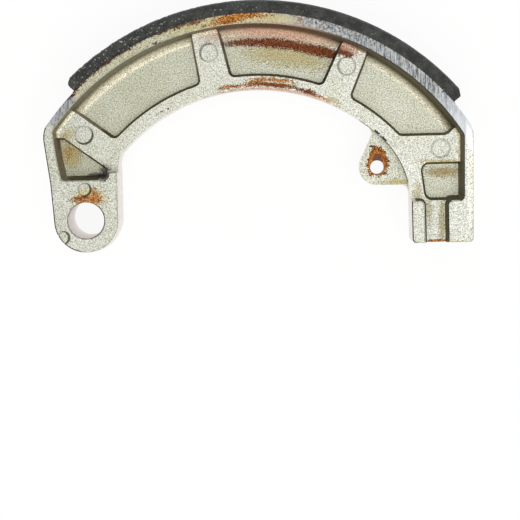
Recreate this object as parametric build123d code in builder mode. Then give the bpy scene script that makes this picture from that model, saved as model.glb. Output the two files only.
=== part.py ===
from build123d import *
import os
from math import acos, asin, atan2, cos, degrees, hypot, radians, sin, sqrt, tan

# Die-cast drum brake shoe with a bonded friction lining, in millimetres and degrees.
# The origin is on the pivot pin's axis at mid-width. +X runs towards the cam end, +Y towards
# the lining and +Z along the pin, so the shoe lies flat on its side, as on a bench.
# Outlines are drawn about the drum's axis, because most curves are concentric with it.

# Friction face, bond and turned table
lining_radius = 74.8
lining_thickness = 3.45
lining_inset = 0.15
lining_length = 118.2
lining_setback = 6.6
lining_bevel_length = 1.9
lining_bevel_depth = 1.1
bond_thickness = 0.15
bond_overrun = 0.5
shoe_width = 24.0

# Pivot eye, placed from the drum's axis
pivot_x = -47.6
pivot_y = 14.9
pivot_bore_radius = 5.0
bore_chamfer = 0.25
eye_radius = 8.9

# Outer sides: the left one leans in two steps down to the eye, the right one is nearly upright
# and meets the table in a short flat
left_side_knee = (-57.3, 25.4)
left_side_lean = 7.6
left_corner_radius = 8.0
table_end_x = 58.9
table_end_drop = 3.5
right_side_top_x = 60.2
right_side_foot_x = 59.7

# Inner edge of the rim that carries the table, which thickens towards the cam end
rim_left_thickness = 2.1
rim_crown_thickness = 2.8
rim_right_thickness = 3.2
rim_left_foot = (-54.2, 26.0)
rim_left_waist = (-55.55, 33.1)
rim_left_corner_x = -56.4
rim_right_corner_x = 57.5
rim_right_foot_x = 57.2
rim_corner_radius = 2.2

# Levels of one half, up from the mid-plane where the two dies part
rib_height = 7.5
floor_height = 4.0
lug_height = 3.5

# Web
inner_band_width = 4.2
eye_blend_radius = 6.0
cam_blend_radius = 24.0

# Cam end: two pads with a groove between them, and a milled face for the cam
cam_face_y = 6.5
cam_inner_x = 42.8
cam_pad_top_y = 18.15
cam_inner_pad_width = 3.5
cam_groove_width = 6.45
cam_pad_corner_radius = 1.3
cam_corner_radius = 1.2
milling_stock = 0.5

# Pockets along the table: angles of each side wall at the inner band and at the rim
pocket_width = 13.9
left_pocket = ((136.2, 137.7), (106.7, 105.2))
crown_pocket = ((96.7, 98.1), (70.1, 69.0))
right_pocket_wall = (60.4, 61.8)
right_pocket_sill_y = 36.8
right_pocket_sill_length = 12.7
pocket_corner_radius = 1.2
sill_corner_radius = 2.0

# Three-cornered pocket above the eye
eye_pocket_apex = (-53.7, 37.2)
eye_pocket_toe = (-41.2, 28.0)
eye_step_y = 28.1
eye_pocket_toe_radius = 1.5

# Four-cornered pocket above the cam end
cam_pocket_top_y = 28.05
cam_pocket_sill_y = 18.75
cam_pocket_top_x = 46.05
cam_pocket_sill_x = 47.25
cam_pocket_corner_radius = 1.7

# Spring lug on the inner side of the web
lug_x = 33.6
lug_y = 27.5
lug_radius = 4.95
lug_flank_angle = 64.7
lug_hole_radius = 1.95
lug_blend_radius = 2.2
lug_overlap = 2.0

# Casting drafts, fillets and turning stock
side_draft = 2.5
core_draft = 8.0
rib_draft = 11.0
pocket_fillet = 3.3
root_fillet = 1.4
turning_stock = 0.3
edge_break = 0.3

# Witness rings of the ejector pins: x, y and radius
ring_width = 0.5
ring_depth = 0.25
rib_rings = ((-47.9, 38.5, 2.4), (-12.6, 60.6, 2.4), (25.6, 56.0, 2.4), (51.3, 32.5, 2.5))
eye_rings = ((-47.8, 23.5, 1.7), (-54.0, 10.3, 1.6))

# Everything below follows from the sizes above
tolerance = 0.01
half_width = shoe_width / 2
bond_radius = lining_radius - lining_thickness
table_radius = bond_radius - bond_thickness
blank_radius = table_radius + turning_stock
rim_crown_radius = table_radius - rim_crown_thickness
pocket_inner_radius = rim_crown_radius - pocket_width
web_inner_radius = pocket_inner_radius - inner_band_width
reach = 2 * lining_radius
drum = Plane(origin=(-pivot_x, -pivot_y, 0))
side_run = half_width * tan(radians(side_draft))
lug_run = lug_height * tan(radians(side_draft))
core_run = (half_width - floor_height) * tan(radians(core_draft))
groove_left_x = cam_inner_x + cam_inner_pad_width
groove_right_x = groove_left_x + cam_groove_width


def polar(radius, angle):
    """Point at an angle about the drum's axis."""
    return Vector(radius * cos(radians(angle)), radius * sin(radians(angle)))


def above(x, radius):
    """Point of a circle about the drum's axis, right above a place on its diameter."""
    return Vector(x, sqrt(radius**2 - x**2))


def round_corner(sketch, corner, radius):
    """Round the corner of an outline that lies nearest to a point."""
    fillet(sketch.vertices().sort_by_distance(corner)[0], radius)


def from_drum_axis(point):
    """Distance of a point from the drum's axis."""
    return hypot(point.X + pivot_x, point.Y + pivot_y)


def wall_roots(casting, height):
    """Edges where the rim's inner wall rises from the level surfaces at one height."""
    walls = casting.faces().filter_by(lambda f: f.bounding_box().max.Z > half_width - tolerance)
    level = casting.faces().filter_by(Plane.XY)
    level = level.filter_by(lambda f: abs(f.center().Z - height) < tolerance)
    wall_edges = walls.edges()
    roots = level.edges().filter_by(lambda e: e in wall_edges)
    nearest = rim_crown_radius - pocket_fillet
    return roots.filter_by(lambda e: nearest < from_drum_axis(e @ 0.5) < table_radius)


def on_circle(start, direction, radius):
    """Where a ray from a point inside a circle about the drum's axis leaves it."""
    along = start.dot(direction)
    return start + direction * (sqrt(along**2 - start.dot(start) + radius**2) - along)


with BuildPart() as cast_shoe:
    # Web plate, up to the pocket floors
    with BuildSketch(drum):
        Rectangle(reach, reach)
    extrude(amount=floor_height)

    # Ribs, inner band and ends of the web: a plate less the pockets, which run out under the rim
    with BuildSketch(drum.offset(floor_height)) as web_top:
        Rectangle(reach, reach)
        pocket_corners = []
        for first, last in (left_pocket, crown_pocket):
            with BuildLine():
                foot_a = polar(pocket_inner_radius, first[0])
                foot_b = polar(pocket_inner_radius, last[0])
                out_a = (polar(rim_crown_radius, first[1]) - foot_a).normalized() * reach
                out_b = (polar(rim_crown_radius, last[1]) - foot_b).normalized() * reach
                middle = polar(pocket_inner_radius, (first[0] + last[0]) / 2)
                ThreePointArc(foot_a, middle, foot_b)
                Polyline(foot_b, foot_b + out_b, foot_a + out_a, foot_a)
            make_face(mode=Mode.SUBTRACT)
            pocket_corners += [foot_a, foot_b]
        with BuildLine():
            foot = polar(pocket_inner_radius, right_pocket_wall[0])
            out = (polar(rim_crown_radius, right_pocket_wall[1]) - foot).normalized() * reach
            sill_angle = degrees(asin(right_pocket_sill_y / pocket_inner_radius))
            sill = polar(pocket_inner_radius, sill_angle)
            sill_end = sill + Vector(right_pocket_sill_length, 0)
            rise = Vector(1, 1).normalized() * reach
            middle = polar(pocket_inner_radius, (right_pocket_wall[0] + sill_angle) / 2)
            ThreePointArc(foot, middle, sill)
            Polyline(sill, sill_end, sill_end + rise, foot + out, foot)
        make_face(mode=Mode.SUBTRACT)
        pocket_corners += [foot, sill]
        with BuildLine():
            Polyline(
                eye_pocket_toe,
                eye_pocket_apex,
                (-reach, eye_pocket_apex[1]),
                (-reach, 0),
                (eye_pocket_toe[0], 0),
                eye_pocket_toe,
            )
        make_face(mode=Mode.SUBTRACT)
        with BuildLine():
            Polyline(
                (cam_pocket_sill_x, cam_pocket_sill_y),
                (cam_pocket_top_x, cam_pocket_top_y),
                (reach, cam_pocket_top_y),
                (reach, 0),
                (groove_right_x + cam_pad_corner_radius, 0),
                (groove_right_x + cam_pad_corner_radius, cam_pocket_sill_y),
                (cam_pocket_sill_x, cam_pocket_sill_y),
            )
        make_face(mode=Mode.SUBTRACT)
        for pocket_corner in pocket_corners:
            round_corner(web_top, pocket_corner, pocket_corner_radius)
        round_corner(web_top, sill_end, sill_corner_radius)
        round_corner(web_top, (cam_pocket_top_x, cam_pocket_top_y), cam_pocket_corner_radius)
        round_corner(web_top, (cam_pocket_sill_x, cam_pocket_sill_y), cam_pocket_corner_radius)
    extrude(amount=rib_height - floor_height, taper=rib_draft)

    # Rim of the table, eye and outer cam pad, which stand to the full width
    with BuildSketch(drum.offset(floor_height)) as rim:
        with BuildLine():
            rim_left_corner = above(rim_left_corner_x, table_radius - rim_left_thickness)
            rim_right_corner = above(rim_right_corner_x, table_radius - rim_right_thickness)
            Polyline(
                (groove_right_x, 0),
                (groove_right_x, cam_pad_top_y),
                (rim_right_foot_x, cam_pad_top_y),
                rim_right_corner,
            )
            ThreePointArc(rim_right_corner, (0, rim_crown_radius), rim_left_corner)
            ThreePointArc(rim_left_corner, rim_left_waist, rim_left_foot)
            Polyline(
                rim_left_foot,
                (eye_pocket_toe[0], rim_left_foot[1]),
                (eye_pocket_toe[0], eye_step_y),
                (0, eye_step_y),
                (0, -reach),
                (-reach, -reach),
                (-reach, reach),
                (reach, reach),
                (reach, 0),
                (groove_right_x, 0),
            )
        make_face()
        round_corner(rim, rim_left_corner, rim_corner_radius)
        round_corner(rim, rim_right_corner, rim_corner_radius)
        round_corner(rim, (rim_right_foot_x, cam_pad_top_y), cam_pad_corner_radius)
        round_corner(rim, (groove_right_x, cam_pad_top_y), cam_pad_corner_radius)
        round_corner(rim, (eye_pocket_toe[0], rim_left_foot[1]), eye_pocket_toe_radius)
        offset(amount=core_run, kind=Kind.TANGENT)
    extrude(amount=half_width - floor_height, taper=core_draft)

    # Inner cam pad
    with BuildSketch(drum.offset(floor_height)) as inner_pad:
        with Locations((groove_left_x, cam_pad_top_y)):
            Rectangle(2 * cam_inner_pad_width, 2 * cam_pad_top_y, align=(Align.MAX, Align.MAX))
        round_corner(inner_pad, (groove_left_x, cam_pad_top_y), cam_pad_corner_radius)
        offset(amount=core_run, kind=Kind.TANGENT)
    extrude(amount=half_width - floor_height, taper=core_draft)

    # The rim's inner wall sweeps down into each long pocket, and meets the rest in a smaller fillet
    fillet(wall_roots(cast_shoe, floor_height).filter_by(lambda e: e.length > pocket_width), pocket_fillet)
    fillet(wall_roots(cast_shoe, rib_height), root_fillet)

    # Outline of the casting, with draft away from the parting plane
    with BuildSketch(drum) as outline:
        with BuildLine():
            knee = Vector(*left_side_knee)
            lean = Vector(-sin(radians(left_side_lean)), cos(radians(left_side_lean)))
            left_top = on_circle(knee, lean, blank_radius)
            table_end = above(table_end_x, blank_radius)
            pivot = Vector(pivot_x, pivot_y)
            to_knee = knee - pivot
            tangent_angle = degrees(atan2(to_knee.Y, to_knee.X) + acos(eye_radius / to_knee.length))
            tangent = pivot + polar(eye_radius, tangent_angle)
            eye_inner_x = pivot_x + eye_radius
            web_left = above(eye_inner_x, web_inner_radius)
            web_right = above(cam_inner_x, web_inner_radius)
            cam_foot_y = cam_face_y - milling_stock
            ThreePointArc(table_end, (0, blank_radius), left_top)
            Polyline(left_top, knee, tangent)
            ThreePointArc(tangent, (pivot_x, pivot_y - eye_radius), (eye_inner_x, pivot_y))
            Line((eye_inner_x, pivot_y), web_left)
            ThreePointArc(web_left, (0, web_inner_radius), web_right)
            Polyline(
                web_right,
                (cam_inner_x, cam_foot_y),
                (right_side_foot_x, cam_foot_y),
                (right_side_top_x, table_end.Y - table_end_drop),
                table_end,
            )
        make_face()
        round_corner(outline, left_top, left_corner_radius)
        round_corner(outline, web_left, eye_blend_radius)
        round_corner(outline, web_right, cam_blend_radius)
        offset(amount=side_run, kind=Kind.TANGENT)
    extrude(amount=half_width, taper=side_draft, mode=Mode.INTERSECT)

    # Spring lug, thinner than the web, blended into the web's inner side and the cam end
    with BuildSketch(drum) as lug:
        with Locations((lug_x, lug_y)):
            Circle(lug_radius)
        with BuildLine():
            flank = Vector(cos(radians(lug_flank_angle)), sin(radians(lug_flank_angle)))
            flank_start = Vector(lug_x - lug_radius * flank.Y, lug_y + lug_radius * flank.X)
            flank_end = on_circle(flank_start, flank, web_inner_radius + lug_overlap)
            Polyline(
                flank_start,
                flank_end,
                (cam_inner_x + lug_overlap, flank_end.Y),
                (cam_inner_x + lug_overlap, lug_y - lug_radius),
                (lug_x, lug_y - lug_radius),
                flank_start,
            )
        make_face()
        offset(amount=lug_run, kind=Kind.TANGENT)
    extrude(amount=lug_height, taper=side_draft)
    lug_on_web = drum.from_local_coords(on_circle(flank_start, flank, web_inner_radius))
    lug_on_cam = drum.from_local_coords(Vector(cam_inner_x, lug_y - lug_radius))
    upright = cast_shoe.edges()
    upright = upright.filter_by(lambda e: abs(e.bounding_box().size.Z - lug_height) < tolerance)
    fillet([upright.sort_by_distance(end)[0] for end in (lug_on_web, lug_on_cam)], lug_blend_radius)

    # Table turned to its radius, and cam face milled square
    with BuildSketch(drum):
        Circle(reach)
        Circle(table_radius, mode=Mode.SUBTRACT)
    extrude(amount=half_width, mode=Mode.SUBTRACT)
    with BuildSketch(drum):
        with Locations((lug_x, cam_face_y)):
            Rectangle(reach, reach, align=(Align.MIN, Align.MAX))
    extrude(amount=half_width, mode=Mode.SUBTRACT)
    cam_corners = cast_shoe.edges().filter_by(lambda e: e.bounding_box().size.Z > rib_height)
    cam_corners = cam_corners.filter_by(lambda e: abs((e @ 0.5).Y + pivot_y - cam_face_y) < tolerance)
    fillet(cam_corners, cam_corner_radius)

    # Blasting broke the edges of all that stands to the full width, but not where it was turned later
    crest = cast_shoe.faces().filter_by_position(Axis.Z, half_width, half_width).edges()
    chamfer(crest.filter_by(lambda e: from_drum_axis(e @ 0.5) < table_radius - edge_break), edge_break)

    # Both halves are alike about the parting plane
    mirror(about=Plane.XY)

    # Pivot bore, and the spring hole through the lug
    Hole(pivot_bore_radius)
    with Locations(drum.from_local_coords(Vector(lug_x, lug_y))):
        Hole(lug_hole_radius)
    bore_mouths = cast_shoe.edges().filter_by(GeomType.CIRCLE)
    bore_mouths = bore_mouths.filter_by(lambda e: abs(e.radius - pivot_bore_radius) < tolerance)
    chamfer(bore_mouths, bore_chamfer)
    hole_mouths = cast_shoe.edges().filter_by(GeomType.CIRCLE)
    hole_mouths = hole_mouths.filter_by(lambda e: abs(e.radius - lug_hole_radius) < tolerance)
    chamfer(hole_mouths, bore_chamfer)

    # Rings that the ejector pins left on the upper side
    for height, rings in ((rib_height, rib_rings), (half_width, eye_rings)):
        with BuildSketch(drum.offset(height)):
            for x, y, radius in rings:
                with Locations((x, y)):
                    Circle(radius + ring_width / 2)
                    Circle(radius - ring_width / 2, mode=Mode.SUBTRACT)
        extrude(amount=-ring_depth, mode=Mode.SUBTRACT)

lining_start = degrees(acos(table_end_x / table_radius) + lining_setback / table_radius)
lining_end = lining_start + degrees(lining_length / table_radius)

with BuildPart() as bond_film:
    # Thermosetting adhesive between table and lining, squeezed out a little past both ends
    with BuildSketch(drum.offset(lining_inset - half_width)):
        with BuildLine():
            overrun = degrees(bond_overrun / table_radius)
            start = lining_start - overrun
            end = lining_end + overrun
            inner = CenterArc((0, 0), table_radius, start, end - start)
            outer = CenterArc((0, 0), bond_radius, start, end - start)
            Line(inner @ 0, outer @ 0)
            Line(inner @ 1, outer @ 1)
        make_face()
    extrude(amount=shoe_width - 2 * lining_inset)

with BuildPart() as friction_lining:
    # Moulded lining, ground to the drum's radius and bevelled at both ends
    with BuildSketch(drum.offset(lining_inset - half_width)):
        with BuildLine():
            bevel = degrees(lining_bevel_length / lining_radius)
            face_start = lining_start + bevel
            face_end = lining_end - bevel
            shoulder = lining_radius - lining_bevel_depth
            back = CenterArc((0, 0), bond_radius, lining_start, lining_end - lining_start)
            face = CenterArc((0, 0), lining_radius, face_start, face_end - face_start)
            Polyline(back @ 0, polar(shoulder, lining_start), face @ 0)
            Polyline(back @ 1, polar(shoulder, lining_end), face @ 1)
        make_face()
    extrude(amount=shoe_width - 2 * lining_inset)

os.makedirs("parts", exist_ok=True)
cast_shoe.part.label = "cast_shoe"
bond_film.part.label = "bond_film"
friction_lining.part.label = "friction_lining"
export_step(cast_shoe.part, "parts/cast_shoe.step")
export_step(bond_film.part, "parts/bond_film.step")
export_step(friction_lining.part, "parts/friction_lining.step")
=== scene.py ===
"""Looks of a drum brake shoe: a bead-blasted aluminium die casting that has stood in the damp, its ground
edges, a moulded friction lining and the adhesive that squeezed out under it, on a plain pale floor."""

import functools
import math
import random
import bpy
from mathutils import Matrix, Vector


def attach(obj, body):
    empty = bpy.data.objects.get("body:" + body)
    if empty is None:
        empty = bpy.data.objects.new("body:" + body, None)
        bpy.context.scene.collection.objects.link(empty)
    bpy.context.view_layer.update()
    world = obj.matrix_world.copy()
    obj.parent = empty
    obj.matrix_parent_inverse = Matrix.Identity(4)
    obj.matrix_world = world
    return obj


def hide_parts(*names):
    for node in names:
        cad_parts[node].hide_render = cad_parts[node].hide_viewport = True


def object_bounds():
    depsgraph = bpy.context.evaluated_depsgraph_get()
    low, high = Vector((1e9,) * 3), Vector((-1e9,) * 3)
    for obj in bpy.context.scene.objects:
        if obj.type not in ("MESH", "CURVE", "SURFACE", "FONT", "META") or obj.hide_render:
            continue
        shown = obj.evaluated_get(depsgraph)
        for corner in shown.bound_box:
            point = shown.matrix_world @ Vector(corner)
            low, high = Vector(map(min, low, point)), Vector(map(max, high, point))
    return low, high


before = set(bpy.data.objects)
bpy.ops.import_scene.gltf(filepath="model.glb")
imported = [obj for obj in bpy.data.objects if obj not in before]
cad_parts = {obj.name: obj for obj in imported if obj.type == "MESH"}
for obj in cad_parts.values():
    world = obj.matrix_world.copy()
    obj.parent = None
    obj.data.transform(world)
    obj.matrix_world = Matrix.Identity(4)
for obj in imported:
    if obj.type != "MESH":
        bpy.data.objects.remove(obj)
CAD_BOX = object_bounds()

from types import SimpleNamespace

import bmesh
import bpy
from bpy.props import FloatProperty, FloatVectorProperty, IntProperty, PointerProperty
from mathutils import Euler, Matrix, Vector, noise

bl_info = {
    "name": "Drum brake shoe",
    "version": (1, 0, 0),
    "blender": (4, 5, 0),
    "location": "3D View > Sidebar > Brake shoe",
    "description": "Finishes a die-cast brake shoe with a bonded lining and lights it",
    "category": "Object",
}

MM = 0.001
# The brake drum's axis, which the table, the rim and the lining are concentric with
DRUM = Vector((0.0476, -0.0149, 0.0))
SHOE_TOP = CAD_BOX[1].z
SHOE_FOOT = CAD_BOX[0].z
# The table's surface, the lining's two faces and its ends, in millimetres and degrees about the drum's axis
TABLE_RADIUS = 71.2
LINING_BACK = 71.35
LINING_FACE = 74.8
LINING_START = 39.49
LINING_END = 134.61
LINING_HALF_WIDTH = 11.85
BEVEL_LENGTH = 1.9
BEVEL_DEPTH = 1.1
# Faces of the moulded lining's mesh: through its thickness, across its width and round its arc
THICKNESS_FACES = 8
WIDTH_FACES = 34
ARC_FACES = 320
# The lining grows rougher from this angle on, over this span, and its pits lie between fractal lumps
TORN_START = 80.0
TORN_SPAN = 45.0
LUMP_SIZE = 0.9
LUMP_ROUGHNESS = 0.7
LUMP_GAP = 2.0
LUMP_OCTAVES = 3
PIT_LEVEL = 0.35
# Most crumbs crowd over the left part of the seam, and the others lie along its right part
CROWD_START = 88.0
CROWD_SPAN = 47.0
CROWD_SHARE = 0.8
SPARSE_END = 100.0
CRUMB_RADII = (0.09, 0.3)
CRUMB_STRETCHES = ((0.7, 1.7), (0.6, 1.2), (0.5, 0.9))
CRUMB_SPREAD = 0.28
# The floor's half side and where the softbox hangs, in metres
FLOOR_HALF_SIDE = 3.0
SOFTBOX_PLACE = (DRUM.x + 0.08, -0.12, 0.9)
# Where the camera stands and where it looks, in millimetres, and its upward direction
CAMERA_PLACE = (59.7, 36.95, 775.0)
CAMERA_TARGET = (47.95, -12.06, 12.0)
CAMERA_UPWARD = (0.024, 1.0, 0.0)
# Sizes of the noises in millimetres: the casting's, and then the lining's and the adhesive's
SPOT_SIZE = 0.8
PATCH_SIZE = 3.2
CLOUD_SIZE = 11.0
SWIRL_SIZE = 1.6
FIBRE_SIZE = 0.55
MAT_SIZE = 3.0
FLECK_SIZE = 0.5
RESIN_SIZE = 0.8
# How far the grinding lines lean from the y axis
GRINDING_LEAN = math.radians(20)
# Against half a stain's size: how far the grit moves the border of a fully ragged stain, how soft a smooth
# stain's border is, and how much sharper a ragged one's is
RAGGED_REACH = 3.2
SMOOTH_BLUR = 0.5
RAGGED_GAIN = 0.25
# The spring hole, and the tongue of dark rust above it
HOLE_X = 81.3
HOLE_Y = 14.4
TONGUE_Y = 15.0
TONGUE_RADIUS = 1.3
# How far the centre of a pin ring's painted shadow lies behind the ring's centre, and how dark the painted
# shade on its whole round is
RING_SHIFT = 0.5
RING_FAINTNESS = 0.3
# How much of a steep wall is its painted shade colour, not what lies on it
WALL_SHARE = 0.6

MATH = "ShaderNodeMath"
RANGE = "ShaderNodeMapRange"
MIX = "ShaderNodeMix"
NOISE = "ShaderNodeTexNoise"
PLACE = "ShaderNodeMapping"
SPLIT = "ShaderNodeSeparateXYZ"
VECTOR = "ShaderNodeVectorMath"
SMOOTH = {"interpolation_type": "SMOOTHSTEP"}
COLOUR = {"data_type": "RGBA", "out": 2}
GLAZE = {"blend_type": "MULTIPLY", **COLOUR}


def linear(code):
    """Linear colour with alpha from an sRGB hex code."""
    channels = [int(code[i : i + 2], 16) / 255 for i in (1, 3, 5)]
    return [c / 12.92 if c <= 0.04045 else ((c + 0.055) / 1.055) ** 2.4 for c in channels] + [1.0]


# Tints that are laid over the colours of the settings
# Darkens the skin towards the pivot
PIVOTWARD_DARKENING = linear("#EEEEEA")
# Painted light on the outer upright sides
PAINTED_SIDE_LIGHT = linear("#FFF9F4")
GROUND_DUST = linear("#BDB699")
FRESH_GRINDING = linear("#D0D4D8")
LEFT_GRINDING = linear("#F8F3F8")
EDGE_FILM = linear("#EFEBDA")
SEAM_RUN = linear("#4E2E22")
RUBBED_EDGE = linear("#FDFCF4")
# Painted shade on narrow edge borders and the bore's mouth
PAINTED_EDGE_SHADE = linear("#45423A")
FEED_SHADE = linear("#E0DAD6")
RUST_TONGUE = linear("#7A4A42")
# Painted shadow of the pin rings
PAINTED_RING_SHADOW = linear("#6A6752")
SPECK = linear("#A6A597")
# Painted shade of the steep walls
WALL_SHADE_TONE = linear("#8C8466")


def tint(name, description, code):
    """A colour that the sidebar shows."""
    return FloatVectorProperty(
        name=name, description=description, subtype="COLOR", size=4, min=0, max=1, default=linear(code)
    )


def length(name, description, millimetres):
    """A length that the sidebar shows, given in millimetres."""
    default = millimetres * MM
    return FloatProperty(name=name, description=description, subtype="DISTANCE", unit="LENGTH", default=default)


class CastingSettings(bpy.types.PropertyGroup):
    """Colours and grain of the casting."""

    skin: tint("Blasted skin", "Bead-blasted faces of the casting", "#E6E7E1")
    grain_shade: tint("Grain shade", "Hollows of the blasted skin", "#BCBCB2")
    oxide: tint("Oxide tone", "Yellowish oxide that lies in the pockets", "#E0DFC6")
    # Painted shade of the steep walls and of the crown pocket's walls, over their darker as-cast skin
    wall: tint("Drafted wall", "Steep walls that the blasting reaches least", "#4A4530")
    crown_wall_shade: tint("Crown wall", "Steep walls of the rusted pocket", "#4A2E18")
    # Painted highlight on the curved foot of a rim wall
    sweep: tint("Sweep", "Foot of a rim wall, polished by the blast", "#FFF7E0")
    ground: tint("Ground edge", "Ground edge of the table", "#BFC3C6")
    ground_shade: tint("Grinding line", "Bottom of the grinding lines", "#484D56")
    rust: tint("Rust", "Orange-brown rust that ran onto the casting", "#CF8A30")
    rust_shade: tint("Rust shade", "Thick spots of the orange-brown rust", "#8A4508")
    old_rust: tint("Old rust", "Dark rust that has settled", "#944A10")
    old_rust_shade: tint("Old rust shade", "Thick spots of the dark rust", "#5E2804")
    rust_film: tint("Rust film", "Thin pinkish rust film", "#E2B398")
    yellow: tint("Yellow oxide", "Faint yellow-brown stain", "#DACB90")
    # Painted shadow on one rib's wall
    rib_shadow: tint("Soot", "Black-brown dirt on the wall beside the settled rust", "#1C1408")
    # Also the painted shade in the toe corner of the pocket above the eye
    gouge_and_shade: tint("Gouge", "Nicks and gouges", "#36322A")
    cut: tint("Fresh cut", "Bored, turned and milled metal", "#FFF6F2")
    grain_size: length("Grain", "Size of a hollow in the blasted skin", 0.31)
    line_spacing: length("Line spacing", "Distance between grinding lines", 0.32)


class LiningSettings(bpy.types.PropertyGroup):
    """Colours and roughness of the lining and its adhesive."""

    body: tint("Lining", "Moulded friction material", "#3C3E3A")
    shade: tint("Pit", "Pits of the friction material", "#242522")
    fleck: tint("Fleck", "Pale fibre and metal flecks", "#A8A9A2")
    rubbed: tint("Rubbed face", "Ground friction face", "#55585A")
    adhesive: tint("Adhesive", "Cured adhesive film", "#38221A")
    crumb: tint("Crumb", "Thin crumbs of adhesive along the seam", "#5C3826")
    torn_depth: length("Torn depth", "Depth of the rough surface at the left end", 0.3)
    smooth_depth: length("Smooth depth", "Depth of the rough surface at the right end", 0.07)
    crumbs: IntProperty(name="Crumbs", description="Crumbs of adhesive along the seam", default=260, min=0)


class StageSettings(bpy.types.PropertyGroup):
    """Floor, lights and lens."""

    floor: tint("Floor", "Plain pale floor", "#F4F4F1")
    lamp_power: FloatProperty(name="Lamp", description="Power of the softbox", subtype="POWER", default=5.2)
    lamp_size: length("Lamp size", "Side of the softbox", 700.0)
    room: FloatProperty(name="Room", description="Strength of the light from above", default=0.3, min=0)
    tent: FloatProperty(name="Tent", description="Strength of the light from the sides", default=1.2, min=0)
    lens: FloatProperty(name="Lens", description="Focal length", subtype="DISTANCE_CAMERA", default=190.8)


def add(tree, kind, inputs=None, out=0, **settings):
    """Add a node with its settings and links, and return the named output, or the node where out is None."""
    node = tree.nodes.new(kind)
    for name, value in settings.items():
        setattr(node, name, value)
    for name, value in (inputs or {}).items():
        if isinstance(value, bpy.types.NodeSocket):
            tree.links.new(value, node.inputs[name])
        else:
            node.inputs[name].default_value = value
    return node if out is None else node.outputs[out]


def new_material(name):
    """A material with its shader, and the function that adds nodes to its tree."""
    material = bpy.data.materials.new(name)
    material.use_nodes = True
    tree = material.node_tree
    return material, tree.nodes["Principled BSDF"], functools.partial(add, tree)


def join(shader, **sockets):
    """Link outputs to the shader's sockets, which are named with underscores for spaces."""
    tree = shader.id_data
    for name, value in sockets.items():
        tree.links.new(value, shader.inputs[name.replace("_", " ").title()])


def drum_places(node):
    """Place in millimetres from the pivot, and as angle in degrees, radius and height about the drum."""
    shoe = node(PLACE, {"Vector": node("ShaderNodeTexCoord", out="Object"), "Scale": (1 / MM,) * 3})
    about = node(PLACE, {"Vector": shoe, "Location": -DRUM / MM})
    x, y, height = node(SPLIT, {0: about}, out=None).outputs
    angle = node(MATH, {0: y, 1: x}, operation="ARCTAN2")
    angle = node(MATH, {0: angle, 1: 180 / math.pi}, operation="MULTIPLY")
    flat = node(VECTOR, {0: about, 1: (1, 1, 0)}, operation="MULTIPLY")
    radius = node(VECTOR, {0: flat}, out="Value", operation="LENGTH")
    drum = node("ShaderNodeCombineXYZ", {0: angle, 1: radius, 2: height})
    return SimpleNamespace(shoe=shoe, drum=drum, angle=angle, radius=radius, height=height)


def casting_places(node):
    """The drum's places, x, y and distance from the pivot's axis, how level a face is and its normal's x."""
    at = drum_places(node)
    at.across, at.along, _ = node(SPLIT, {0: at.shoe}, out=None).outputs
    flat = node(VECTOR, {0: at.shoe, 1: (1, 1, 0)}, operation="MULTIPLY")
    at.from_pivot = node(VECTOR, {0: flat}, out="Value", operation="LENGTH")
    normal = node("ShaderNodeTexCoord", out="Normal")
    at.rightward, _, upward = node(SPLIT, {0: normal}, out=None).outputs
    at.level = node(MATH, {0: upward}, operation="ABSOLUTE")
    return at


# Regions of the casting. Each border names a place, and its values where the region starts and where it is
# full. Across and along are x and y from the pivot. Angle, radius and height are about the drum.
REGIONS = {
    # Relief
    "floors": (("height", 6.5, 4.5),),
    "web": (("radius", 51.0, 51.4),),
    "cam_end": (("across", 91.2, 91.7),),
    "beside_lug": (("across", 76.0, 77.0), ("height", 3.4, 3.6), ("along", 7.8, 8.8)),
    "inside_outline": (
        ("radius", 70.9, 70.7),
        ("across", -9.6, -9.2),
        ("across", 106.6, 106.2),
        ("height", 11.75, 11.65),
    ),
    "right_of_eye": (("across", 20.0, 21.0),),
    "above_eye": (("along", 9.5, 10.5),),
    "crown_pocket": (("angle", 64.0, 67.0), ("angle", 103.0, 99.0), ("height", 0.0, 3.0)),
    # Where a painted shadow lies on one rib's wall
    "shaded_rib": (("angle", 72.0, 70.6), ("angle", 67.4, 68.4), ("radius", 67.6, 66.6), ("height", 0.0, 3.0)),
    # Edge of the table
    "edge": (("radius", 67.3, 68.3), ("height", 11.9, 11.98)),
    "right_ground": (("angle", 92.0, 72.0),),
    "left_ground": (("angle", 134.0, 138.0), ("angle", 145.5, 142.0)),
    "edge_film": (("angle", 142.0, 138.0),),
    "seam_run": (("angle", 98.0, 106.0), ("angle", 138.5, 136.0), ("height", 11.9, 11.98)),
    "rubbed_edge": (
        ("across", 105.5, 106.3),
        ("height", 11.5, 11.9),
        ("along", -6.0, 2.0),
        ("radius", 71.5, 68.5),
    ),
    "upper_border": (("height", 11.6, 11.75),),
    # Cut faces
    "turned": (("radius", 71.0, 71.15),),
    "bored": (("from_pivot", 5.1, 5.05),),
    "milled": (("along", -8.3, -8.38), ("across", 89.0, 90.0)),
    # The half that lies up
    "upper_half": (("height", 0.5, 1.5),),
}


def region(node, at, name, share=1.0):
    """How much of a share is left inside a region."""
    for place, start, full in REGIONS[name]:
        inside = node(RANGE, {0: getattr(at, place), 1: start, 2: full}, **SMOOTH)
        share = node(MATH, {0: share, 1: inside}, operation="MULTIPLY")
    return share


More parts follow.
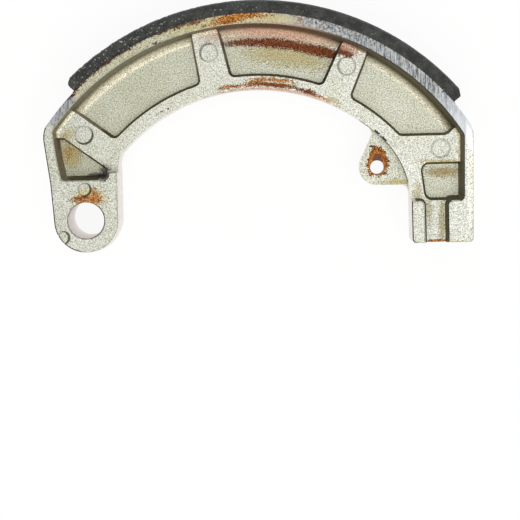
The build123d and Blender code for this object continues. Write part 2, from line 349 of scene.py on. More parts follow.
# Stains of the upper side. Each has its place, half its size, how solid and how ragged it is, and its colour.
# Round ones are given by angle, radius and height about the drum, and the others by x, y and z from the pivot,
# in degrees and millimetres.
ROUND_STAINS = (
    # Film and settled rust on the crown pocket's sweep
    ((81.0, 60.2, 4), (11.0, 3.2, 1.5), 0.75, 0.6, "yellow"),
    ((83.5, 66.4, 7.5), (16.0, 3.6, 5.0), 0.95, 0.15, "rust_film"),
    ((83.5, 68.9, 8.0), (17.0, 1.5, 2.6), 0.9, 0.2, "rust"),
    ((92.0, 63.3, 4.5), (6.0, 1.0, 2.5), 0.95, 0.4, "old_rust"),
    ((84.0, 63.0, 4.5), (8.5, 1.4, 2.5), 1.0, 0.35, "old_rust"),
    ((76.0, 62.8, 4.5), (8.0, 1.45, 2.5), 1.0, 0.35, "old_rust"),
    ((71.5, 63.2, 4.5), (4.0, 1.4, 2.5), 1.0, 0.3, "old_rust"),
    ((67.4, 65.0, 7.5), (2.4, 1.2, 1.0), 1.0, 0.4, "old_rust"),
    ((68.0, 66.4, 7.5), (4.0, 1.0, 2.0), 0.7, 0.4, "rust_film"),
    ((63.5, 67.4, 9), (6.0, 0.7, 3.0), 0.7, 0.3, "old_rust"),
    # Edge of the table
    ((99.5, 69.6, 12), (8.5, 1.9, 1), 0.6, 0.5, "yellow"),
    ((88.0, 70.0, 12), (7.0, 1.1, 1), 0.6, 0.5, "yellow"),
    ((95.6, 69.9, 12), (3.3, 1.3, 1), 1.0, 0.35, "rust"),
    ((92.0, 70.5, 12), (5.6, 0.7, 1), 1.0, 0.35, "rust"),
    ((97.5, 69.2, 12), (3.4, 0.5, 1), 0.7, 0.6, "rust"),
    ((102.9, 70.7, 12), (1.6, 0.5, 1), 0.9, 0.5, "old_rust"),
    ((79.6, 70.5, 12), (0.6, 0.4, 1), 0.8, 0.4, "rust"),
    # Inner edge of the web
    ((84.5, 52.5, 7.5), (8.0, 1.1, 1), 0.6, 0.5, "yellow"),
    ((84.5, 52.9, 7.5), (6.8, 0.5, 1), 0.9, 0.5, "rust"),
    ((89.5, 52.0, 7.5), (2.8, 0.7, 1), 0.9, 0.5, "rust"),
    ((84.0, 51.5, 7.5), (8.5, 0.65, 1), 1.0, 0.4, "old_rust"),
    ((98.3, 51.5, 7.5), (2.6, 0.5, 1), 0.9, 0.6, "rust"),
    ((93.5, 51.3, 7.5), (3.5, 0.4, 1), 0.8, 0.6, "rust"),
    ((73.3, 51.2, 7.5), (3.0, 0.65, 1), 1.0, 0.4, "old_rust"),
    ((68.4, 50.9, 7.5), (3.2, 0.4, 1), 0.9, 0.6, "rust"),
    ((65.0, 51.3, 7.5), (3.0, 0.6, 1), 0.6, 0.6, "yellow"),
    ((84.0, 50.3, 5), (20.0, 0.5, 4.0), 0.8, 0.2, "rust_film"),
    # Above the eye, on the rim's wall and on the web
    ((144.6, 65.2, 7.5), (2.6, 1.6, 1.0), 0.6, 0.7, "yellow"),
    ((147.8, 65.9, 6.5), (3.4, 1.2, 3.0), 0.6, 0.3, "rust"),
    # Nicks
    ((113.1, 69.15, 12), (0.35, 0.55, 1), 1.0, 0.25, "gouge_and_shade"),
    ((112.2, 68.7, 12), (0.3, 0.25, 1), 0.8, 0.25, "gouge_and_shade"),
    ((120.5, 51.5, 7.5), (0.5, 0.2, 1), 0.8, 0.3, "gouge_and_shade"),
    ((118.0, 51.4, 7.5), (0.4, 0.25, 1), 0.9, 0.3, "gouge_and_shade"),
    ((122.2, 51.6, 7.5), (0.3, 0.15, 1), 0.7, 0.3, "gouge_and_shade"),
    ((47.9, 50.3, 7.5), (1.1, 0.4, 2.5), 1.0, 0.25, "gouge_and_shade"),
    ((44.9, 50.2, 7.5), (1.2, 0.4, 2.5), 1.0, 0.25, "gouge_and_shade"),
)
SPOT_STAINS = (
    # Pivot eye
    ((1.2, 6.4, 12), (4.4, 2.3, 1), 0.85, 0.4, "yellow"),
    ((0.0, 5.8, 12), (3.9, 1.0, 1), 0.9, 0.35, "rust"),
    ((2.9, 6.2, 12), (1.5, 2.0, 1), 0.7, 0.4, "rust"),
    ((2.4, 7.8, 12), (0.8, 1.5, 1), 0.65, 0.45, "rust"),
    ((-1.0, 6.3, 12), (2.2, 0.5, 1), 0.8, 0.3, "old_rust"),
    # Pocket above the eye
    ((-4.4, 18.4, 4), (2.8, 3.6, 1.5), 0.9, 0.4, "yellow"),
    ((-4.9, 18.7, 4), (1.4, 1.7, 1.5), 0.45, 0.8, "rust"),
    # Painted shade in the pocket's toe corner, in the gouge colour
    ((5.0, 12.6, 8), (1.9, 2.3, 5), 0.95, 0.3, "gouge_and_shade"),
    ((3.0, 11.9, 5), (3.2, 1.0, 3), 0.7, 0.3, "gouge_and_shade"),
    ((7.6, 13.2, 9), (1.6, 0.25, 4), 0.8, 0.1, "gouge_and_shade"),
    # Pocket, groove and pads of the cam end
    ((99.7, 10.9, 4), (4.6, 1.4, 1.5), 0.75, 0.6, "yellow"),
    ((99.5, 11.0, 4), (3.4, 0.9, 1.5), 0.25, 0.8, "rust"),
    ((98.7, 14.0, 7.5), (5.5, 0.6, 1), 0.85, 0.5, "yellow"),
    ((86.7, 8.4, 3.5), (3.6, 0.7, 1.5), 0.8, 0.5, "yellow"),
    ((92.3, 5.6, 7.5), (1.2, 2.6, 1), 0.4, 0.5, "yellow"),
    ((95.4, 0.5, 7.5), (0.8, 3.5, 1), 0.4, 0.6, "yellow"),
    ((98.8, -2.5, 7.5), (0.8, 6.8, 1), 0.6, 0.5, "yellow"),
    ((97.2, -8.1, 7), (3.6, 0.5, 3), 0.95, 0.5, "rust"),
    ((103.5, -8.3, 11), (3.6, 0.4, 3), 0.7, 0.5, "yellow"),
    ((106.9, 5.0, 11.5), (0.4, 18.0, 2), 0.12, 0.6, "yellow"),
    # Beside the spring lug
    ((79.8, 18.6, 3.5), (0.8, 0.3, 1.5), 1.0, 0.2, "gouge_and_shade"),
)
# Rings that the ejector pins left: x, y and z from the pivot, radius, the side where its painted shadow lies,
# and how dark that painted shadow is
PIN_RINGS = (
    ((-0.3, 23.6, 7.5), 2.4, -50, 0.95),
    ((35.0, 45.7, 7.5), 2.4, 150, 0.6),
    ((73.2, 41.1, 7.5), 2.4, 180, 0.55),
    ((98.9, 17.6, 7.5), 2.5, -60, 0.35),
    ((-0.2, 8.6, 12), 1.7, -20, 0.95),
    ((-6.4, -4.6, 12), 1.6, 0, 0.9),
)


def lay_stains(node, paints, stains, place, grit, colour, cover):
    """Lay ragged stains over a colour, and return it with how much of the metal they cover."""
    for centre, half, strength, ragged, name in stains:
        shrink = [1 / h for h in half]
        offset = [-c * s for c, s in zip(centre, shrink)]
        spot = node(PLACE, {"Vector": place, "Location": offset, "Scale": shrink})
        away = node(VECTOR, {0: spot}, out="Value", operation="LENGTH")
        away = node(MATH, {0: grit, 1: RAGGED_REACH * ragged, 2: away}, operation="MULTIPLY_ADD")
        blur = SMOOTH_BLUR - RAGGED_GAIN * ragged
        share = node(RANGE, {0: away, 1: 1 + blur, 2: 1 - blur, 3: 0.0, 4: strength}, **SMOOTH)
        colour = node(MIX, {0: share, 6: colour, 7: paints[name]}, **COLOUR)
        cover = node(MATH, {0: cover, 1: share}, operation="MAXIMUM")
    return colour, cover


def casting_noises(node, shoe, settings):
    """Noises of the casting's surface, from its blasted grain to wide clouds, and its grinding lines."""
    grain_size = settings.grain_size / MM
    fine = node(NOISE, {"Vector": shoe, "Scale": 1 / grain_size, "Detail": 1.0, "Roughness": 0.6})
    spotty = node(NOISE, {"Vector": shoe, "Scale": 1 / SPOT_SIZE, "Detail": 2.0, "Roughness": 0.7})
    patchy = node(NOISE, {"Vector": shoe, "Scale": 1 / PATCH_SIZE})
    clouds = node(NOISE, {"Vector": shoe, "Scale": 1 / CLOUD_SIZE})
    grit = node(MATH, {0: fine, 1: spotty}, operation="ADD")
    grit = node(MATH, {0: grit, 1: 1.0}, operation="SUBTRACT")
    lean = {"Rotation": (0, 0, GRINDING_LEAN), "Scale": (MM / settings.line_spacing, 0.3, 0.3)}
    leaning = node(PLACE, {"Vector": shoe, **lean})
    lines = node(NOISE, {"Vector": leaning, "Scale": 1.0, "Detail": 2.0, "Roughness": 0.6})
    return SimpleNamespace(fine=fine, spotty=spotty, patchy=patchy, clouds=clouds, grit=grit, lines=lines)


def relief_mask(node, at):
    """Where the casting is relieved: its pockets and its web, inside the outline and off the eye."""
    relief = region(node, at, "web")
    for name in ("cam_end", "beside_lug"):
        relief = node(MATH, {0: relief, 1: region(node, at, name)}, operation="MAXIMUM")
    relief = region(node, at, "inside_outline", relief)
    off_eye = region(node, at, "right_of_eye")
    off_eye = node(MATH, {0: off_eye, 1: region(node, at, "above_eye")}, operation="MAXIMUM")
    return node(MATH, {0: relief, 1: off_eye}, operation="MULTIPLY")


def lay_skin(node, at, noises, settings):
    """Blasted skin, with yellowish oxide that lies mostly on the floors, and darker towards the pivot."""
    floors = region(node, at, "floors")
    clouded = node(RANGE, {0: noises.clouds, 1: 0.35, 2: 0.65, 3: 0.0, 4: 0.25})
    oxide = node(MATH, {0: floors, 1: 0.35, 2: clouded}, operation="MULTIPLY_ADD", use_clamp=True)
    colour = node(MIX, {0: oxide, 6: settings.skin, 7: settings.oxide}, **GLAZE)
    # Darker towards the pivot
    pivotward = node(RANGE, {0: at.across, 1: 105.0, 2: -10.0})
    return node(MIX, {0: pivotward, 6: colour, 7: PIVOTWARD_DARKENING}, **GLAZE)


def lay_sweep_highlight(node, at, relief, colour, settings):
    """The curved foot of a wall, with a painted highlight where it catches the light."""
    sweep_highlight = node(RANGE, {0: at.level, 1: 0.999, 2: 0.96, 3: 0.0, 4: 0.9}, **SMOOTH)
    sweep_highlight = node(MATH, {0: sweep_highlight, 1: relief}, operation="MULTIPLY")
    return node(MIX, {0: sweep_highlight, 6: colour, 7: settings.sweep}, **COLOUR)


def lay_ground_edge(node, at, noises, colour, settings):
    """The edge of the table, ground bare towards both ends: gritty, with clear lines only near the ends.
    Between them it is as cast, under a yellowish film. Returns where it is ground, too."""
    edge = region(node, at, "edge")
    left_part = region(node, at, "left_ground")
    reached = node(MATH, {0: region(node, at, "right_ground"), 1: left_part}, operation="MAXIMUM")
    reached = node(MATH, {0: noises.patchy, 1: 0.7, 2: reached}, operation="MULTIPLY_ADD")
    reached = node(RANGE, {0: reached, 1: 0.5, 2: 1.1}, **SMOOTH)
    ground = node(MATH, {0: edge, 1: reached}, operation="MULTIPLY")

    lined = node(RANGE, {0: at.angle, 1: 70.0, 2: 58.0, 3: 0.25, 4: 0.85}, **SMOOTH)
    lined_left = node(MATH, {0: left_part, 1: 0.8}, operation="MULTIPLY")
    lined = node(MATH, {0: lined, 1: lined_left}, operation="MAXIMUM")
    tone = node(MIX, {0: lined, 2: noises.spotty, 3: noises.lines})
    tone = node(RANGE, {0: tone, 1: 0.32, 2: 0.72}, **SMOOTH)
    bare = node(MIX, {0: tone, 6: settings.ground_shade, 7: settings.ground}, **COLOUR)
    dusty = node(RANGE, {0: noises.spotty, 1: 0.45, 2: 0.7, 3: 0.0, 4: 0.5}, **SMOOTH)
    bare = node(MIX, {0: dusty, 6: bare, 7: GROUND_DUST}, **COLOUR)
    fresh = node(RANGE, {0: at.angle, 1: 46.0, 2: 34.0, 3: 0.0, 4: 0.7}, **SMOOTH)
    bare = node(MIX, {0: fresh, 6: bare, 7: FRESH_GRINDING}, **COLOUR)
    bare = node(MIX, {0: left_part, 6: bare, 7: LEFT_GRINDING}, **GLAZE)
    colour = node(MIX, {0: ground, 6: colour, 7: bare}, **COLOUR)

    as_cast = node(MATH, {0: 1.0, 1: reached}, operation="SUBTRACT")
    film = node(MATH, {0: as_cast, 1: edge}, operation="MULTIPLY")
    film = region(node, at, "edge_film", film)
    return node(MIX, {0: film, 6: colour, 7: EDGE_FILM}, **GLAZE), ground


def lay_seam_run(node, at, noises, colour):
    """Adhesive and dust that run inwards from the seam over the left half."""
    ragged = node(MATH, {0: noises.spotty, 1: 3.0, 2: at.radius}, operation="MULTIPLY_ADD")
    ragged = node(MATH, {0: noises.patchy, 1: 2.6, 2: ragged}, operation="MULTIPLY_ADD")
    run = node(RANGE, {0: ragged, 1: 73.5, 2: 74.1}, **SMOOTH)
    run = region(node, at, "seam_run", run)
    return node(MIX, {0: run, 6: colour, 7: SEAM_RUN}, **COLOUR)


def lay_outer_sides(node, at, relief, colour):
    """Painted light on the upright sides outside the relief, which are returned too, and painted shade on two
    narrow
    borders: the upper one that faces away from the cam end, and the mouth of the bore."""
    upright = node(RANGE, {0: at.level, 1: 0.5, 2: 0.3})
    outside = node(MATH, {0: 1.0, 1: relief}, operation="SUBTRACT")
    sides = node(MATH, {0: upright, 1: outside}, operation="MULTIPLY")
    colour = node(MIX, {0: sides, 6: colour, 7: PAINTED_SIDE_LIGHT}, **COLOUR)

    # Painted shade on the upper border that faces away from the cam end and on the bore's mouth
    leftward = node(RANGE, {0: at.rightward, 1: 0.05, 2: -0.3, 3: 0.0, 4: 0.95}, **SMOOTH)
    border = region(node, at, "upper_border", leftward)
    mouth = node(RANGE, {0: at.from_pivot, 1: 5.4, 2: 5.2, 3: 0.0, 4: 0.95}, **SMOOTH)
    level = node(RANGE, {0: at.level, 1: 0.5, 2: 0.9})
    mouth = node(MATH, {0: mouth, 1: level}, operation="MULTIPLY")
    edge_shade = node(MATH, {0: border, 1: mouth}, operation="MAXIMUM")
    return node(MIX, {0: edge_shade, 6: colour, 7: PAINTED_EDGE_SHADE}, **COLOUR), sides


def lay_cuts(node, at, colour, settings):
    """Turned table, bored eye and milled cam face, marked by the tool's feed. Returns where they are, too."""
    turned = node(RANGE, {0: at.level, 1: 0.5, 2: 0.3})
    turned = region(node, at, "turned", turned)
    bored = node(RANGE, {0: at.level, 1: 0.9, 2: 0.5})
    bored = region(node, at, "bored", bored)
    cut = node(MATH, {0: turned, 1: bored}, operation="MAXIMUM")
    cut = node(MATH, {0: cut, 1: region(node, at, "milled")}, operation="MAXIMUM")
    stretched = node(PLACE, {"Vector": at.shoe, "Scale": (0.15, 0.15, 3.0)})
    feed = node(NOISE, {"Vector": stretched, "Scale": 1.0, "Detail": 1.0})
    feed = node(RANGE, {0: feed, 1: 0.3, 2: 0.7})
    cut_colour = node(MIX, {0: feed, 6: FEED_SHADE, 7: settings.cut}, **COLOUR)
    return node(MIX, {0: cut, 6: colour, 7: cut_colour}, **COLOUR), cut


def spring_hole_rust(node, at, grit, shift):
    """Rust round the spring hole: an egg that narrows upwards, and in it a dark tongue above the hole."""
    moved = node(VECTOR, {0: shift, 1: (1.4, 1.4, 0), 2: at.shoe}, operation="MULTIPLY_ADD")
    from_hole = node(VECTOR, {0: moved, 1: (HOLE_X, HOLE_Y, 0)}, operation="SUBTRACT")
    egg_x, egg_y, _ = node(SPLIT, {0: from_hole}, out=None).outputs
    narrowing = node(RANGE, {0: egg_y, 1: -3.0, 2: 4.0, 3: 1.0, 4: 1.55})
    egg_x = node(MATH, {0: egg_x, 1: narrowing}, operation="MULTIPLY")
    egg_y = node(MATH, {0: egg_y, 1: 0.82}, operation="MULTIPLY")
    egg = node("ShaderNodeCombineXYZ", {0: egg_x, 1: egg_y})
    egg = node(VECTOR, {0: egg}, out="Value", operation="LENGTH")
    egg = node(MATH, {0: grit, 1: 2.2, 2: egg}, operation="MULTIPLY_ADD")
    egg = node(RANGE, {0: egg, 1: 3.85, 2: 3.35}, **SMOOTH)
    egg = region(node, at, "upper_half", egg)

    shrink = 1 / TONGUE_RADIUS
    tongue_place = {"Location": (-HOLE_X * shrink, -TONGUE_Y * shrink, 0), "Scale": (shrink, shrink, 0)}
    tongue = node(PLACE, {"Vector": moved, **tongue_place})
    tongue = node(VECTOR, {0: tongue}, out="Value", operation="LENGTH")
    tongue = node(RANGE, {0: tongue, 1: 1.15, 2: 0.75}, **SMOOTH)
    return egg, node(MATH, {0: tongue, 1: egg}, operation="MULTIPLY")


def lay_rust(node, at, noises, colour, settings):
    """Rust and oxide, ragged and spotted. Returns how much of the metal they cover, too."""
    spots = node(RANGE, {0: noises.grit, 1: -0.12, 2: 0.14}, **SMOOTH)
    paints = {
        "rust": node(MIX, {0: spots, 6: settings.rust_shade, 7: settings.rust}, **COLOUR),
        "old_rust": node(MIX, {0: spots, 6: settings.old_rust_shade, 7: settings.old_rust}, **COLOUR),
        "rust_film": settings.rust_film,
        "yellow": settings.yellow,
        "gouge_and_shade": settings.gouge_and_shade,
    }
    swirl = node(NOISE, {"Vector": at.shoe, "Scale": 1 / SWIRL_SIZE, "Detail": 2.0}, out="Color")
    shift = node(VECTOR, {0: swirl, 1: (0.5, 0.5, 0.5)}, operation="SUBTRACT")
    cover = 0.0
    for stains, place, reach in (
        (ROUND_STAINS, at.drum, (2.0, 1.0, 0.5)),
        (SPOT_STAINS, at.shoe, (1.0, 1.0, 0.5)),
    ):
        moved = node(VECTOR, {0: shift, 1: reach, 2: place}, operation="MULTIPLY_ADD")
        colour, cover = lay_stains(node, paints, stains, moved, noises.grit, colour, cover)
    egg, tongue = spring_hole_rust(node, at, noises.grit, shift)
    colour = node(MIX, {0: egg, 6: colour, 7: paints["rust"]}, **COLOUR)
    cover = node(MATH, {0: cover, 1: egg}, operation="MAXIMUM")
    return node(MIX, {0: tongue, 6: colour, 7: RUST_TONGUE}, **COLOUR), cover


def pin_ring(node, shoe, place, radius, side, darkness):
    """How dark a pin's ring is: a faint painted shade all round, and a painted shadow on the given side."""
    turn = math.radians(side)
    behind = (place[0] - RING_SHIFT * math.cos(turn), place[1] - RING_SHIFT * math.sin(turn), place[2])
    near = node(VECTOR, {0: shoe, 1: place}, out="Value", operation="DISTANCE")
    far = node(VECTOR, {0: shoe, 1: behind}, out="Value", operation="DISTANCE")
    inside = node(RANGE, {0: near, 1: radius + 0.4, 2: radius + 0.15}, **SMOOTH)
    shadow_crescent = node(RANGE, {0: far, 1: radius - 0.1, 2: radius + 0.25, 3: 0.0, 4: darkness}, **SMOOTH)
    faint = node(RANGE, {0: near, 1: radius - 0.2, 2: radius, 3: 0.0, 4: RING_FAINTNESS}, **SMOOTH)
    ring = node(MATH, {0: shadow_crescent, 1: faint}, operation="MAXIMUM")
    return node(MATH, {0: ring, 1: inside}, operation="MULTIPLY")


def lay_grain(node, noises, bright, sides, colour, settings):
    """Hollows and specks of the blasted skin, which show through everything but bright metal."""
    hollow = node(RANGE, {0: noises.fine, 1: 0.64, 2: 0.36})
    specks = node(RANGE, {0: noises.grit, 1: -0.12, 2: -0.3, 3: 0.0, 4: 0.55})
    matt = node(MATH, {0: 1.0, 1: bright}, operation="SUBTRACT")
    halved = node(RANGE, {0: sides, 3: 1.0, 4: 0.5})
    matt = node(MATH, {0: matt, 1: halved}, operation="MULTIPLY")
    for share, shade in ((hollow, settings.grain_shade), (specks, SPECK)):
        share = node(MATH, {0: share, 1: matt}, operation="MULTIPLY")
        colour = node(MIX, {0: share, 6: colour, 7: shade}, **GLAZE)
    return colour


def lay_walls(node, at, relief, colour, settings):
    """Steep walls of the relief: painted shade over the darker skin they kept from the die, which hides part of
    what lies on them. Those of the crown's pocket are the darkest and the reddest, with a painted shadow on the
    side of one rib."""
    shallowest = node(RANGE, {0: at.across, 1: 60.0, 2: 72.0, 3: 0.82, 4: 0.965})
    steep = node(RANGE, {0: at.level, 1: shallowest, 2: 0.4}, **SMOOTH)
    steep = node(MATH, {0: steep, 1: relief}, operation="MULTIPLY")
    crown = region(node, at, "crown_pocket")
    wall_shade_colour = node(MIX, {0: crown, 6: settings.wall, 7: settings.crown_wall_shade}, **COLOUR)
    wall = node(MIX, {0: 1.0, 6: colour, 7: WALL_SHADE_TONE}, **GLAZE)
    wall = node(MIX, {0: WALL_SHARE, 6: wall, 7: wall_shade_colour}, **COLOUR)
    # Painted shadow on one rib's wall
    wall = node(MIX, {0: region(node, at, "shaded_rib"), 6: wall, 7: settings.rib_shadow}, **COLOUR)
    # The walls' painted shade is fainter near the pivot, except at the web's inner side
    strength = node(RANGE, {0: at.across, 1: 20.0, 2: 50.0, 3: 0.7, 4: 0.95})
    inner = node(RANGE, {0: at.radius, 1: 62.0, 2: 58.0, 3: 0.0, 4: 1.0})
    strength = node(MATH, {0: strength, 1: inner}, operation="MAXIMUM")
    steep = node(MATH, {0: steep, 1: strength}, operation="MULTIPLY")
    return node(MIX, {0: steep, 6: colour, 7: wall}, **COLOUR)


def casting_material(settings):
    """Die-cast aluminium, bead-blasted: a pale matt metal with a fine grain, bright lines where it was ground
    or turned, and rust that ran onto it. Each layer lies over the ones before it."""
    material, shader, node = new_material("die_cast_aluminium_bead_blasted")
    at = casting_places(node)
    noises = casting_noises(node, at.shoe, settings)
    relief = relief_mask(node, at)
    colour = lay_skin(node, at, noises, settings)
    # Painted highlight on the curved feet of the walls
    colour = lay_sweep_highlight(node, at, relief, colour, settings)
    colour, ground = lay_ground_edge(node, at, noises, colour, settings)
    colour = lay_seam_run(node, at, noises, colour)
    colour = node(MIX, {0: region(node, at, "rubbed_edge"), 6: colour, 7: RUBBED_EDGE}, **COLOUR)
    # Painted light on the outer sides, and painted shade on narrow borders
    colour, sides = lay_outer_sides(node, at, relief, colour)
    colour, cut = lay_cuts(node, at, colour, settings)
    colour, cover = lay_rust(node, at, noises, colour, settings)
    # Painted shadows of the ejector pin rings
    ring_shadows = 0.0
    for ring in PIN_RINGS:
        ring_shadows = node(MATH, {0: ring_shadows, 1: pin_ring(node, at.shoe, *ring)}, operation="MAXIMUM")
    colour = node(MIX, {0: ring_shadows, 6: colour, 7: PAINTED_RING_SHADOW}, **GLAZE)
    bright = node(MATH, {0: ground, 1: cut}, operation="MAXIMUM")
    colour = lay_grain(node, noises, bright, sides, colour, settings)
    # Painted shade on the steep walls
    colour = lay_walls(node, at, relief, colour, settings)

    # Rust is rougher than the skin and isn't metal, and cut faces are smoother
    rough = node(MATH, {0: cover, 1: 0.25, 2: 0.6}, operation="MULTIPLY_ADD")
    rough = node(MATH, {0: cut, 1: -0.15, 2: rough}, operation="MULTIPLY_ADD")
    metal = node(MATH, {0: 1.0, 1: cover}, operation="SUBTRACT")
    lines = node(MATH, {0: noises.lines, 1: ground}, operation="MULTIPLY")
    surface = node(MATH, {0: lines, 1: 0.6, 2: noises.fine}, operation="MULTIPLY_ADD")
    bump = node("ShaderNodeBump", {"Strength": 0.3, "Distance": 0.06 * MM, "Height": surface})
    join(shader, base_color=colour, metallic=metal, roughness=rough, normal=bump)
    return material


def lining_material(settings):
    """Moulded friction material: a dull dark mat of fibre and resin with pale flecks, rubbed on its face."""
    material, shader, node = new_material("moulded_friction_material")
    at = drum_places(node)
    fine = node(NOISE, {"Vector": at.shoe, "Scale": 1 / FIBRE_SIZE, "Detail": 3.0})
    coarse = node(NOISE, {"Vector": at.shoe, "Scale": 1 / MAT_SIZE, "Detail": 2.0})
    tone = node(MATH, {0: fine, 1: coarse}, operation="ADD")
    tone = node(RANGE, {0: tone, 1: 0.8, 2: 1.25}, **SMOOTH)
    colour = node(MIX, {0: tone, 6: settings.shade, 7: settings.body}, **COLOUR)
    # Flecks are thick at the left end and rare at the right
    flecked = node(NOISE, {"Vector": at.shoe, "Scale": 1 / FLECK_SIZE, "Detail": 1.0, "Roughness": 0.4})
    start = node(RANGE, {0: at.angle, 1: 70.0, 2: 125.0, 3: 0.76, 4: 0.66})
    flecks = node(MATH, {0: flecked, 1: start}, operation="SUBTRACT")
    flecks = node(RANGE, {0: flecks, 1: 0.0, 2: 0.05}, **SMOOTH)
    flecks = node(MATH, {0: flecks, 1: 0.8}, operation="MULTIPLY")
    colour = node(MIX, {0: flecks, 6: colour, 7: settings.fleck}, **COLOUR)
    face = node(RANGE, {0: at.radius, 1: LINING_FACE - 0.6, 2: LINING_FACE - 0.2}, **SMOOTH)
    face = node(MATH, {0: face, 1: 0.6}, operation="MULTIPLY")
    colour = node(MIX, {0: face, 6: colour, 7: settings.rubbed}, **COLOUR)
    bump = node("ShaderNodeBump", {"Strength": 0.5, "Distance": 0.12 * MM, "Height": fine})
    join(shader, base_color=colour, normal=bump)
    shader.inputs["Roughness"].default_value = 0.85
    shader.inputs["IOR"].default_value = 1.5
    return material


def adhesive_material(settings):
    """Cured phenolic adhesive: a brittle brown resin film, a little glossy where it is whole."""
    material, shader, node = new_material("cured_phenolic_adhesive")
    tone = node(NOISE, {"Vector": drum_places(node).shoe, "Scale": 1 / RESIN_SIZE, "Detail": 2.0})
    tone = node(RANGE, {0: tone, 1: 0.4, 2: 0.6}, **SMOOTH)
    join(shader, base_color=node(MIX, {0: tone, 6: settings.adhesive, 7: settings.crumb}, **COLOUR))
    shader.inputs["Roughness"].default_value = 0.6
    shader.inputs["IOR"].default_value = 1.55
    return material


def floor_material(settings):
    """White paper, which the camera sees nearly blown out under the object's soft shadow."""
    material, shader, node = new_material("matt_paper_floor")
    shader.inputs["Base Color"].default_value = settings.floor
    shader.inputs["Roughness"].default_value = 1.0
    shader.inputs["Specular IOR Level"].default_value = 0.0
    path = node("ShaderNodeLightPath", out=None).outputs
    seen = node(MATH, {0: path["Is Camera Ray"], 1: path["Is Glossy Ray"]}, operation="MAXIMUM")
    white = node("ShaderNodeEmission", {"Color": (1, 1, 1, 1), "Strength": 1.0})
    share = node(MATH, {0: seen, 1: 0.9}, operation="MULTIPLY")
    mixed = node("ShaderNodeMixShader", {0: share, 1: shader.outputs[0], 2: white})
    material.node_tree.links.new(mixed, material.node_tree.nodes["Material Output"].inputs["Surface"])
    return material


def new_object(bm, name, material):
    """Make an object of a bmesh whose place is in its vertices."""
    mesh = bpy.data.meshes.new(name)
    bm.to_mesh(mesh)
    bm.free()
    mesh.materials.append(material)
    made = bpy.data.objects.new(name, mesh)
    bpy.context.scene.collection.objects.link(made)
    return made


def cover_node(name, material):
    """Give a node of the frame its material, and leave its shape as it is."""
    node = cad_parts[name]
    node.data.materials.clear()
    node.data.materials.append(material)


def about_drum(radius, angle, height):
    """Place of a point that is given in millimetres and degrees about the drum's axis."""
    turn = math.radians(angle)
    return DRUM + Vector((radius * math.cos(turn), radius * math.sin(turn), height)) * MM


def spin_lining():
    """Plain lining: its section at the right end, spun about the drum's axis."""
    bm = bmesh.new()
    bmesh.ops.create_grid(bm, x_segments=THICKNESS_FACES, y_segments=WIDTH_FACES, size=0.5)
    thickness = LINING_FACE - LINING_BACK
    bmesh.ops.scale(bm, verts=bm.verts, vec=(thickness * MM, 2 * LINING_HALF_WIDTH * MM, 1))
    bmesh.ops.rotate(bm, verts=bm.verts, matrix=Matrix.Rotation(math.radians(90), 3, "X"))
    bmesh.ops.translate(bm, verts=bm.verts, vec=((LINING_BACK + thickness / 2) * MM, 0, 0))
    bmesh.ops.rotate(bm, verts=bm.verts, matrix=Matrix.Rotation(math.radians(LINING_START), 3, "Z"))
    bmesh.ops.translate(bm, verts=bm.verts, vec=DRUM)
    bmesh.ops.spin(
        bm,
        geom=bm.verts[:] + bm.edges[:] + bm.faces[:],
        cent=DRUM,
        axis=(0, 0, 1),
        angle=math.radians(LINING_END - LINING_START),
        steps=ARC_FACES,
    )
    bmesh.ops.remove_doubles(bm, verts=bm.verts, dist=0.001 * MM)
    bmesh.ops.recalc_face_normals(bm, faces=bm.faces)
    return bm


def put_in_order(bm):
    """Put vertices in order of place and faces in order of vertices, so that each run gives the same mesh."""
    for rank, vert in enumerate(sorted(bm.verts, key=lambda vert: vert.co.to_tuple())):
        vert.index = rank
    bm.verts.sort()
    for rank, face in enumerate(sorted(bm.faces, key=lambda face: sorted(vert.index for vert in face.verts))):
        face.index = rank
    bm.faces.sort()


def bevel_ends(bm):
    """Bevel both ends of the lining on the friction face."""
    bevel = math.degrees(BEVEL_LENGTH / LINING_FACE)
    for end, inward in ((LINING_START, 1), (LINING_END, -1)):
        shoulder = about_drum(LINING_FACE - BEVEL_DEPTH, end, 0)
        crest = about_drum(LINING_FACE, end + inward * bevel, 0)
        outward = (crest - shoulder).cross(Vector((0, 0, inward))).normalized()
        for vert in bm.verts:
            proud = (vert.co - shoulder).dot(outward)
            if proud > 0:
                vert.co -= outward * proud


def pit_surface(bm, settings):
    """Pit the lining's surface, which is torn at the left end and fairly smooth at the right."""
    bm.normal_update()
    moves = []
    for vert in bm.verts:
        place = vert.co - DRUM
        angle = math.degrees(math.atan2(place.y, place.x))
        torn = min(max((angle - TORN_START) / TORN_SPAN, 0), 1)
        depth = settings.smooth_depth + (settings.torn_depth - settings.smooth_depth) * torn
        lump = noise.fractal(vert.co / (LUMP_SIZE * MM), LUMP_ROUGHNESS, LUMP_GAP, LUMP_OCTAVES)
        moves.append(vert.normal * depth * min(lump - PIT_LEVEL, 0))
    for vert, move in zip(bm.verts, moves):
        vert.co += move


def strew_crumbs(count):
    """Crumbs of adhesive along the seam, which lie thickest under the left end of the lining."""
    random.seed(7)
    bm = bmesh.new()
    for _ in range(count):
        share = random.random()
        crowded = CROWD_START + CROWD_SPAN * share**0.6
        angle = crowded if random.random() < CROWD_SHARE else random.uniform(LINING_START, SPARSE_END)
        size = random.uniform(*CRUMB_RADII) * MM
        spread = abs(random.gauss(0, CRUMB_SPREAD)) * (0.3 + share)
        place = about_drum(TABLE_RADIUS - spread + 0.1, angle, SHOE_TOP / MM - 0.05)
        turn = Euler([random.uniform(0, math.tau) for _ in range(3)]).to_matrix().to_4x4()
        stretch = [random.uniform(*limits) for limits in CRUMB_STRETCHES]
        matrix = Matrix.Translation(place) @ turn @ Matrix.Diagonal((*stretch, 1))
        bmesh.ops.create_icosphere(bm, subdivisions=1, radius=size, matrix=matrix)
    return bm


